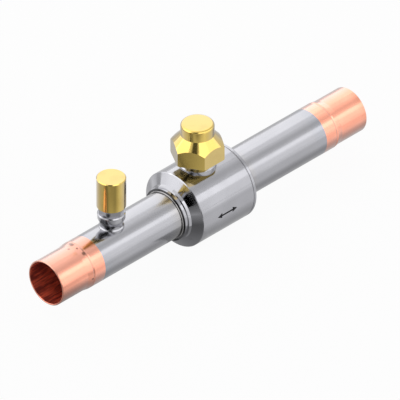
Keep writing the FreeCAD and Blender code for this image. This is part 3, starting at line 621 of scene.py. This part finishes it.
def shown(name, mesh, material):
    """A new piece of the object, in that material."""
    piece = bpy.data.objects.new(name, mesh)
    bpy.context.scene.collection.objects.link(piece)
    piece.data.materials.clear()
    piece.data.materials.append(material)
    return piece


# a groove's section as shares of the pitch: half its mouth, half its floor, and its height over the metal
GROOVE_MOUTH = 0.47
GROOVE_FLOOR = 0.06
GROOVE_STAND = 0.10


def helix_groove(name, centre_x, radius, start, end, pitch, depth, steps, inside=False):
    """A V-shaped bar wound on an upright axis, which cuts one thread; inside is for a nut's."""
    side = -1.0 if inside else 1.0
    corners = (
        (radius + side * GROOVE_STAND * pitch, -GROOVE_MOUTH * pitch),
        (radius - side * depth, -GROOVE_FLOOR * pitch),
        (radius - side * depth, GROOVE_FLOOR * pitch),
        (radius + side * GROOVE_STAND * pitch, GROOVE_MOUTH * pitch),
    )
    count = max(2, int(round((end - start) / pitch * steps)))
    points = []
    for index in range(count + 1):
        turn = 2.0 * math.pi * index / steps
        rise = start + (end - start) * index / count
        for away, up in corners:
            points.append((centre_x + away * math.cos(turn), away * math.sin(turn), rise + up))
    faces = [(3, 2, 1, 0)]
    for index in range(count):
        low, high = 4 * index, 4 * index + 4
        for corner in range(4):
            beside = (corner + 1) % 4
            faces.append((low + corner, low + beside, high + beside, high + corner))
    faces.append((4 * count, 4 * count + 1, 4 * count + 2, 4 * count + 3))
    tool = bpy.data.objects.new(name, faced_out(mesh_of(name, points, faces)))
    bpy.context.scene.collection.objects.link(tool)
    return tool


def cut_thread(node, piece_name, body, groove):
    """Replaces a CAD node by the same form with a thread cut in it."""
    points, faces = welded_copy(node)
    material = NODES[node].data.materials[0]
    piece = shown(piece_name, mesh_of(piece_name, points, faces), material)
    cutter = piece.modifiers.new("thread", "BOOLEAN")
    cutter.operation = "DIFFERENCE"
    cutter.solver = "EXACT"
    cutter.object = groove
    bpy.context.view_layer.update()
    graph = bpy.context.evaluated_depsgraph_get()
    cut = bpy.data.meshes.new_from_object(piece.evaluated_get(graph))
    if len(cut.polygons) <= len(faces):
        raise RuntimeError(f"the thread of {node} wasn't cut")
    piece.modifiers.clear()
    piece.data = cut
    piece.data.materials.clear()
    piece.data.materials.append(material)
    cut.shade_smooth()
    cut.set_sharp_from_angle(angle=SMOOTH_UP_TO)
    bpy.data.objects.remove(groove)
    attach(piece, body)
    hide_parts(node)
    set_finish(piece, NODES[node]["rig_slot"])


# how much wider a cap's thread is than the one it goes on
THREAD_PLAY = 0.08 * MM
# where the threads start above the caps' lower edges, the port's cone over its thread, and the core's thread
NECK_START = 1.6 * MM
PORT_START = 1.4 * MM
PORT_CONE = 1.8 * MM
CORE_THREAD = 3.2 * MM
# how far a groove runs past its metal, and how far a cap's groove ends below the metal's, in pitches
RUN_OUT, CORE_RUN_OUT = 0.4, 0.3
SEAL_CAP_SHORT, ACCESS_CAP_SHORT = 0.6, 0.8


class CutThreads(bpy.types.Operator):
    """Cuts the threads of the neck, the port, the core's head and both caps."""

    bl_idname = "valve.cut_threads"
    bl_label = "Threads"

    def execute(self, context):
        size = context.scene.valve_threads
        deep = size.depth_share
        pitch, radius = size.neck_pitch, size.neck_radius
        low, high = CAP_BOTTOM + NECK_START, NECK_TOP + RUN_OUT * pitch
        groove = helix_groove("neck_groove", 0.0, radius, low, high, pitch, deep * pitch, size.steps)
        cut_thread("stem_neck", "threaded_neck", "valve", groove)
        groove = helix_groove(
            "cap_groove", 0.0, radius + THREAD_PLAY, low + pitch / 2, high - SEAL_CAP_SHORT * pitch,
            pitch, deep * pitch, size.steps, inside=True,
        )
        cut_thread("seal_cap", "threaded_seal_cap", "cap", groove)
        pitch, radius = size.port_pitch, size.port_radius
        low, high = ACCESS_CAP_BOTTOM + PORT_START, PORT_HIGH.z - PORT_CONE + RUN_OUT * pitch
        groove = helix_groove("port_groove", PORT_AXIS, radius, low, high, pitch, deep * pitch, size.steps)
        cut_thread("access_port", "threaded_access_port", "valve", groove)
        groove = helix_groove(
            "access_cap_groove", PORT_AXIS, radius + THREAD_PLAY, low - pitch / 2,
            high - ACCESS_CAP_SHORT * pitch, pitch, deep * pitch, size.steps, inside=True,
        )
        cut_thread("access_cap", "threaded_access_cap", "port_cap", groove)
        pitch, radius = size.core_pitch, size.core_radius
        groove = helix_groove(
            "core_groove", PORT_AXIS, radius, CORE_TOP - CORE_THREAD, CORE_TOP + CORE_RUN_OUT * pitch,
            pitch, deep * pitch, size.steps,
        )
        cut_thread("core_body", "threaded_core", "valve", groove)
        return {"FINISHED"}


class FitCoreSpring(bpy.types.Operator):
    """Puts a smooth copy of the core's coil spring in its place between core and pin."""

    bl_idname = "valve.fit_core_spring"
    bl_label = "Core spring"

    def execute(self, context):
        node = NODES["core_spring"]
        coil = mesh_of("coil_spring", *welded_copy("core_spring"))
        spring = shown("coil_spring", coil, node.data.materials[0])
        spring.data.shade_smooth()
        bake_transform(spring)
        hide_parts("core_spring")
        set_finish(spring, node["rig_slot"])
        return {"FINISHED"}


# strips across the arrow, its tips' width as a share of a head's, and where a head has gone back to the line
ARROW_STRIPS = 8
ARROW_TIP = 0.02
HEAD_BACK = 1.001


class MarkArrow(bpy.types.Operator):
    """Lays the double-headed flow arrow on the body."""

    bl_idname = "valve.mark_arrow"
    bl_label = "Flow arrow"

    def execute(self, context):
        size = context.scene.valve_marks
        start, end = size.arrow_start, size.arrow_start + size.arrow_length
        line, spread = size.arrow_line / 2, size.arrow_spread / 2
        stations = [
            (start, ARROW_TIP * spread), (start + 0.5 * size.arrow_head, 0.5 * spread),
            (start + size.arrow_head, spread), (start + size.arrow_head * HEAD_BACK, line),
            (end - size.arrow_head * HEAD_BACK, line), (end - size.arrow_head, spread),
            (end - 0.5 * size.arrow_head, 0.5 * spread), (end, ARROW_TIP * spread),
        ]
        points, faces = [], []
        across = ARROW_STRIPS + 1
        for radius in (BODY_RADIUS - 2 * size.arrow_lift, BODY_RADIUS + size.arrow_lift):
            for place, half in stations:
                for index in range(across):
                    angle = half * (2.0 * index / (across - 1) - 1.0) / BODY_RADIUS
                    points.append((place, -radius * math.cos(angle), radius * math.sin(angle)))
        layer = len(stations) * across
        for row in range(len(stations) - 1):
            for index in range(across - 1):
                low = row * across + index
                square = (low, low + 1, low + across + 1, low + across)
                faces.append(square)
                faces.append(tuple(layer + corner for corner in reversed(square)))
        rim = (
            [index for index in range(across)]
            + [row * across + across - 1 for row in range(1, len(stations))]
            + [layer - 1 - index for index in range(1, across)]
            + [row * across for row in range(len(stations) - 2, 0, -1)]
        )
        for index, corner in enumerate(rim):
            beside = rim[(index + 1) % len(rim)]
            faces.append((corner, layer + corner, layer + beside, beside))
        mesh = faced_out(mesh_of("flow_arrow", points, faces))
        ink = soft_ring("etched_arrow", context.scene.valve_finishes.sign, *INK_SKIN)
        ink.node_tree.nodes["Principled BSDF"].inputs["Specular IOR Level"].default_value = INK_SHINE
        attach(shown("flow_arrow", mesh, ink), "valve")
        return {"FINISHED"}


# steps round the bead, sides of its section, ripples round it, how far a ripple's crown trails its feet as a
# share of a ripple, and the bead's half width as a share of the groove's width
BEAD_TURN_STEPS = 432
BEAD_SIDES = 8
BEAD_RIPPLES = 144
RIPPLE_LAG = 0.9
BEAD_FILL = 0.46


class LaySeamBead(bpy.types.Operator):
    """Lays the rippled weld bead in the groove between the body and its closure."""

    bl_idname = "valve.lay_seam_bead"
    bl_label = "Closing seam's bead"

    def execute(self, context):
        size = context.scene.valve_marks
        floor, half = BODY_RADIUS - size.seam_depth, BEAD_FILL * size.seam_width
        crown = size.seam_depth - size.bead_low
        section = [math.pi * step / BEAD_SIDES for step in range(BEAD_SIDES + 1)]
        points, faces = [], []
        for index in range(BEAD_TURN_STEPS):
            turn = 2.0 * math.pi * index / BEAD_TURN_STEPS
            for angle in section:
                lag = RIPPLE_LAG * math.sin(angle)
                wave = math.sin(BEAD_RIPPLES * turn - 2.0 * math.pi * lag)
                ripple = size.bead_ripple * math.sin(angle) * wave
                away = floor + crown * math.sin(angle) + ripple
                place = size.seam_place - half * math.cos(angle)
                points.append((place, away * math.cos(turn), away * math.sin(turn)))
        across = len(section)
        for index in range(BEAD_TURN_STEPS):
            here, after = index * across, (index + 1) % BEAD_TURN_STEPS * across
            for step in range(across):
                beside = (step + 1) % across
                faces.append((here + step, here + beside, after + beside, after + step))
        mesh = mesh_of("seam_bead", points, faces)
        mesh.shade_smooth()
        bead = shown("seam_bead", mesh, NODES["valve_body"].data.materials[0])
        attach(bead, "valve")
        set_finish(bead, NODES["valve_body"]["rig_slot"])
        return {"FINISHED"}


# lamps and cards beside the valve, in metres and degrees; greys are (share of the way, brightness)
STAGE_CENTRE = 0.40
STAGE_LENGTH = 1.8
# name, angle up from the front, distance, width, and the size that holds its brightness
SOFT_BOXES = [
    ("low_soft_box", 14, 0.7, 0.32, "low_glow"),
    ("front_soft_box", 37, 0.6, 0.21, "front_glow"),
    ("top_soft_box", 97, 0.8, 0.27, "top_glow"),
    ("back_soft_box", 139, 0.8, 0.96, "back_glow"),
]
DARK_CARD_WIDTH, DARK_CARD_LENGTH = 0.28, 0.85
DARK_CARD_GREYS = [(0.0, 1.0), (0.22, 0.10), (0.78, 0.10), (1.0, 1.0)]
DARK_CARD_AZIMUTH, DARK_CARD_AWAY, DARK_CARD_RISE = -60, 0.36, 0.575
OVERHEAD_ANGLE, OVERHEAD_AWAY, OVERHEAD_WIDTH = 68, 0.6, 0.37
OVERHEAD_GREYS = [
    (0.0, 1.12), (0.126, 0.98), (0.30, 0.88), (0.47, 0.84), (0.64, 0.92), (0.815, 1.08), (1.0, 1.25),
]
# painted shadow: the table card's greys, seen only in reflections, stand for the valve's shadow on the floor
TABLE_AHEAD = (-0.40, 0.10)
TABLE_AHEAD_GREYS = [
    (0.0, 1.36), (0.20, 1.23), (0.40, 1.06), (0.60, 0.93), (0.69, 0.98), (0.726, 0.97), (0.745, 0.71),
    (0.758, 0.55), (0.768, 0.53), (0.784, 0.59), (0.80, 0.62), (0.824, 0.75), (0.856, 0.70), (0.92, 0.72),
    (1.0, 0.80),
]
TABLE_LEFT = (-0.36, 0.06)
LEFT_FRONT_GREYS = [
    (0.0, 0.30), (0.54, 0.35), (0.60, 0.42), (0.665, 0.38), (0.776, 0.93), (0.869, 1.14), (0.93, 1.05),
]
LEFT_NEAR_GREYS = [(0.0, 0.30), (0.493, 0.40), (0.643, 0.62), (0.679, 0.75), (0.714, 1.0)]
LEFT_BACK_GREYS = [(0.0, 0.90), (0.56, 0.90), (0.638, 1.15), (0.731, 1.40), (0.774, 1.45), (0.81, 1.0)]
# where the left greys pass from the front ones to the near ones, and to the back ones
NEAR_RUN = (-0.075, -0.050)
BACK_RUN = (0.0, 0.030)
TABLE_SIDE = 3.0
# the cards' corners
LEFT_CARD = [(-0.45, -0.12, -0.01), (-0.45, 0.03, -0.01), (-0.45, 0.03, 0.11), (-0.45, -0.12, 0.11)]
LEFT_WHITE_CARD = [(-0.8, 0.02, 0.05), (-0.8, 1.4, -0.03), (-0.8, 1.4, 1.3), (-0.8, 0.02, 1.3)]
RIGHT_WHITE_CARD = [(-0.21, -0.31, 0.12), (0.1, -0.36, 0.12), (0.1, -0.36, 0.7), (-0.21, -0.31, 0.7)]
# painted shadow: dim cards round the foot of the cone, standing for the valve's shadow there as the metal
# reflects it; one leans before it, one lies under the tube and one on the floor
CONE_SHADOW_CARD = [
    (-0.021, -0.034, -0.0202), (-0.021, -0.0128, -0.0202), (-0.034, -0.0128, 0.0), (-0.034, -0.034, 0.0),
]
CONE_SHADOW_RUN = ("Z", -0.0202, 0.0)
CONE_SHADOW_GREYS = [(0.0, 0.30), (0.35, 0.20), (0.6, 0.17), (1.0, 0.45)]
UNDER_SHADOW_CARD = [
    (-0.021, -0.0128, -0.0202), (-0.021, 0.014, -0.0202),
    (-0.0256, 0.014, -0.0131), (-0.0256, -0.0128, -0.0131),
]
UNDER_SHADOW_RUN = ("Y", -0.0128, 0.012)
UNDER_SHADOW_GREYS = [(0.0, 0.26), (1.0, 0.50)]
FLOOR_SHADOW_CARD = [
    (-0.0215, -0.036, -0.02015), (-0.002, -0.036, -0.02015),
    (-0.002, 0.014, -0.02015), (-0.0215, 0.014, -0.02015),
]
FLOOR_SHADOW_RUN = ("X", -0.0215, -0.002)
FLOOR_SHADOW_GREYS = [(0.0, 0.30), (0.5, 0.40), (1.0, 0.58)]
CARD_WHITE, CARD_WHITE_TOP = (1.65, 1.65, 1.65, 1.0), (2.3, 2.3, 2.3, 1.0)
WHITE_RISE = (0.15, 0.45)
BLACK = (0.0, 0.0, 0.0, 1.0)
PAPER, PAPER_FLECK = (0.62, 0.62, 0.62), (0.64, 0.64, 0.64, 1.0)
PAPER_GRAIN = (8.0, 8.0, 8.0)
FLOOR_WHITENESS = 0.95
FLOOR_REACH = 9
SENSOR_WIDTH = 36.0
SEEN_FROM, SEEN_TO = 0.1, 40.0


def greys_along(letter, start, end, greys):
    """A card's tone: its greys along one axis, from start to end."""
    def tone(made):
        return made.ramp(made.level(made.axis(letter), 0.0, 1.0, start, end), greys)
    return tone


def table_shadow_greys(made):
    """What lies under the valve as its metal shows it: darker beside, behind and to the left of it, as
    painted shadow of the valve on the floor.
    """
    ahead = made.ramp(made.level(made.axis("Y"), 0.0, 1.0, *TABLE_AHEAD), TABLE_AHEAD_GREYS)
    along = made.level(made.axis("X"), 0.0, 1.0, *TABLE_LEFT)
    near = made.level(made.axis("Y"), 0.0, 1.0, *NEAR_RUN)
    left = made.blend(near, made.ramp(along, LEFT_FRONT_GREYS), made.ramp(along, LEFT_NEAR_GREYS))
    back = made.level(made.axis("Y"), 0.0, 1.0, *BACK_RUN)
    left = made.blend(back, left, made.ramp(along, LEFT_BACK_GREYS))
    return made.blend(1.0, ahead, left, "MULTIPLY")


def black(made):
    """A card that reflects as a dark gap."""
    return BLACK


def bright(made):
    """White, brighter towards its top."""
    rise = made.level(made.axis("Z"), 0.0, 1.0, *WHITE_RISE)
    return made.blend(rise, CARD_WHITE, CARD_WHITE_TOP)


def round_flow(piece, angle, away):
    """Puts a flat thing along the flow, that angle up from the front, so that it faces the valve."""
    turn = math.radians(angle)
    piece.location = (STAGE_CENTRE, -away * math.cos(turn), away * math.sin(turn))
    piece.rotation_euler = (math.radians(90.0 - angle), 0.0, 0.0)


def flat(length, width):
    """Corners of a level rectangle."""
    along, across = length / 2, width / 2
    return [(-along, -across, 0), (along, -across, 0), (along, across, 0), (-along, across, 0)]


def card(name, corners, tone, one_side=False):
    """A card that only reflections see, on one side or on both. tone makes its greys."""
    mesh = bpy.data.meshes.new(name)
    mesh.from_pydata(corners, [], [(0, 1, 2, 3)])
    piece = bpy.data.objects.new(name, mesh)
    bpy.context.scene.collection.objects.link(piece)
    made = Finish(name + "_paper", (0.5, 0.5, 0.5), 0.0)
    glow = made.node("ShaderNodeEmission", {0: tone(made), 1: 1.0}).outputs[0]
    if one_side:
        glow = made.see_through_behind(glow)
    made.links.new(glow, made.nodes["Material Output"].inputs[0])
    piece.data.materials.append(made.material)
    piece.visible_camera = False
    piece.visible_diffuse = False
    piece.visible_shadow = False
    return piece


def soft_box(name, angle, away, width, glow):
    """A lamp along the flow whose face has that brightness, where 1 is white."""
    light = bpy.data.lights.new(name, "AREA")
    light.shape = "RECTANGLE"
    light.size, light.size_y = STAGE_LENGTH, width
    light.energy = glow * math.pi * STAGE_LENGTH * width
    piece = bpy.data.objects.new(name, light)
    bpy.context.scene.collection.objects.link(piece)
    round_flow(piece, angle, away)
    piece.visible_camera = False


class BuildStage(bpy.types.Operator):
    """Sets the white floor, the room's light, the soft boxes, the cards and the camera."""

    bl_idname = "valve.build_stage"
    bl_label = "Stage and camera"

    def execute(self, context):
        size = context.scene.valve_stage
        self.floor(-BODY_RADIUS - size.floor_drop)
        self.room(context.scene, size.daylight)
        for name, angle, away, width, glow in SOFT_BOXES:
            soft_box(name, angle, away, width, getattr(size, glow))
        across = greys_along("Y", -OVERHEAD_WIDTH / 2, OVERHEAD_WIDTH / 2, OVERHEAD_GREYS)
        overhead = card("overhead_card", flat(STAGE_LENGTH, OVERHEAD_WIDTH), across)
        round_flow(overhead, OVERHEAD_ANGLE, OVERHEAD_AWAY)
        table = card("table_card", flat(TABLE_SIDE, TABLE_SIDE), table_shadow_greys)
        table.location.z = -BODY_RADIUS - 0.5 * size.floor_drop
        card("left_card", LEFT_CARD, black)
        # painted shadow: dim cards, seen only in reflections, round the cone's foot
        card("cone_shadow_card", CONE_SHADOW_CARD, greys_along(*CONE_SHADOW_RUN, CONE_SHADOW_GREYS), one_side=True)
        card("under_shadow_card", UNDER_SHADOW_CARD, greys_along(*UNDER_SHADOW_RUN, UNDER_SHADOW_GREYS), one_side=True)
        card("floor_shadow_card", FLOOR_SHADOW_CARD, greys_along(*FLOOR_SHADOW_RUN, FLOOR_SHADOW_GREYS))
        card("left_white_card", LEFT_WHITE_CARD, bright)
        card("right_white_card", RIGHT_WHITE_CARD, bright)
        across = greys_along("X", -DARK_CARD_WIDTH / 2, DARK_CARD_WIDTH / 2, DARK_CARD_GREYS)
        dark = card("cap_card", flat(DARK_CARD_WIDTH, DARK_CARD_LENGTH), across)
        dark.location = DARK_CARD_AWAY * unit_vector(DARK_CARD_AZIMUTH, 0) + Vector((0, 0, DARK_CARD_RISE))
        dark.rotation_euler = (math.radians(90), 0.0, math.radians(DARK_CARD_AZIMUTH))
        self.camera(context.scene, size)
        context.scene.view_settings.view_transform = "Standard"
        return {"FINISHED"}

    def floor(self, height):
        """White paper that keeps the valve's shadow and is clear from below."""
        mesh = bpy.data.meshes.new("floor")
        mesh.from_pydata(flat(2 * FLOOR_REACH, 2 * FLOOR_REACH), [], [(0, 1, 2, 3)])
        piece = bpy.data.objects.new("floor", mesh)
        bpy.context.scene.collection.objects.link(piece)
        piece.location.z = height
        made = Finish("white_floor", PAPER, 0.0)
        made.shader.inputs["Roughness"].default_value = 0.9
        made.shader.inputs["Specular IOR Level"].default_value = 0.0
        tint = made.blend(made.grain(PAPER_GRAIN), made.base, PAPER_FLECK)
        made.feed(made.shader.inputs["Base Color"], tint)
        rays = made.node("ShaderNodeLightPath").outputs
        bent = made.math("MAXIMUM", rays["Is Glossy Ray"], rays["Is Transmission Ray"])
        seen = made.math("MAXIMUM", rays["Is Camera Ray"], bent)
        white = made.node("ShaderNodeEmission", {0: WHITE, 1: 1.0})
        lit = made.math("MULTIPLY", seen, FLOOR_WHITENESS)
        paper = made.node("ShaderNodeMixShader", {0: lit, 1: made.shader.outputs[0], 2: white.outputs[0]})
        made.links.new(made.see_through_behind(paper.outputs[0]), made.nodes["Material Output"].inputs[0])
        piece.data.materials.append(made.material)

    def room(self, scene, daylight):
        """Even daylight for the surfaces, and white where the camera or a reflection sees the room."""
        scene.world = bpy.data.worlds.new("photo_room")
        scene.world.use_nodes = True
        nodes, links = scene.world.node_tree.nodes, scene.world.node_tree.links
        light = nodes["Background"]
        light.inputs[0].default_value = WHITE
        light.inputs[1].default_value = daylight
        white = nodes.new("ShaderNodeBackground")
        white.inputs[0].default_value = WHITE
        rays = nodes.new("ShaderNodeLightPath").outputs
        seen = rays["Is Camera Ray"]
        for name in ("Is Glossy Ray", "Is Transmission Ray"):
            either = nodes.new("ShaderNodeMath")
            either.operation = "MAXIMUM"
            links.new(seen, either.inputs[0])
            links.new(rays[name], either.inputs[1])
            seen = either.outputs[0]
        mix = nodes.new("ShaderNodeMixShader")
        links.new(seen, mix.inputs[0])
        links.new(light.outputs[0], mix.inputs[1])
        links.new(white.outputs[0], mix.inputs[2])
        links.new(mix.outputs[0], nodes["World Output"].inputs[0])

    def camera(self, scene, size):
        """A long lens far away, so that the picture is nearly a parallel view at the set scale."""
        data = bpy.data.cameras.new("photo_camera")
        data.lens = size.lens
        data.sensor_width = SENSOR_WIDTH
        camera = bpy.data.objects.new("photo_camera", data)
        scene.collection.objects.link(camera)
        back = unit_vector(math.degrees(size.azimuth), math.degrees(size.elevation))
        camera.rotation_mode = "QUATERNION"
        camera.rotation_quaternion = (-back).to_track_quat("-Z", "Y")
        right = camera.rotation_quaternion @ Vector((1, 0, 0))
        up = camera.rotation_quaternion @ Vector((0, 1, 0))
        width = size.scale * size.pixels
        away = width * data.lens / data.sensor_width
        camera.location = right * size.shift_right - up * size.shift_down + back * away
        data.clip_start, data.clip_end = SEEN_FROM, SEEN_TO
        scene.camera = camera


PIECES = (
    DressSteel, DressTubes, DressCaps, DressInside,
    CutThreads, FitCoreSpring, MarkArrow, LaySeamBead, BuildStage,
)
GROUPS = {
    "valve_finishes": ValveFinishes,
    "valve_threads": ValveThreads,
    "valve_marks": ValveMarks,
    "valve_stage": ValveStage,
}


class VALVE_PT_pieces(bpy.types.Panel):
    """Lists the valve's operators and sizes."""

    bl_label = "Service valve"
    bl_idname = "VALVE_PT_pieces"
    bl_space_type = "VIEW_3D"
    bl_region_type = "UI"
    bl_category = "Valve"

    def draw(self, context):
        for piece in PIECES:
            self.layout.operator(piece.bl_idname)
        for name, group in GROUPS.items():
            box = self.layout.box()
            for key in group.__annotations__:
                box.prop(getattr(context.scene, name), key)


def register():
    for group in GROUPS.values():
        bpy.utils.register_class(group)
    for name, group in GROUPS.items():
        setattr(bpy.types.Scene, name, PointerProperty(type=group))
    for piece in PIECES:
        bpy.utils.register_class(piece)
    bpy.utils.register_class(VALVE_PT_pieces)


def unregister():
    bpy.utils.unregister_class(VALVE_PT_pieces)
    for piece in reversed(PIECES):
        bpy.utils.unregister_class(piece)
    for name in GROUPS:
        delattr(bpy.types.Scene, name)
    for group in reversed(list(GROUPS.values())):
        bpy.utils.unregister_class(group)


def main():
    register()
    bpy.ops.valve.dress_steel()
    bpy.ops.valve.dress_tubes()
    bpy.ops.valve.dress_caps()
    bpy.ops.valve.dress_inside()
    bpy.ops.valve.cut_threads()
    bpy.ops.valve.fit_core_spring()
    bpy.ops.valve.mark_arrow()
    bpy.ops.valve.lay_seam_bead()
    bpy.ops.valve.build_stage()


if __name__ == "__main__":
    main()
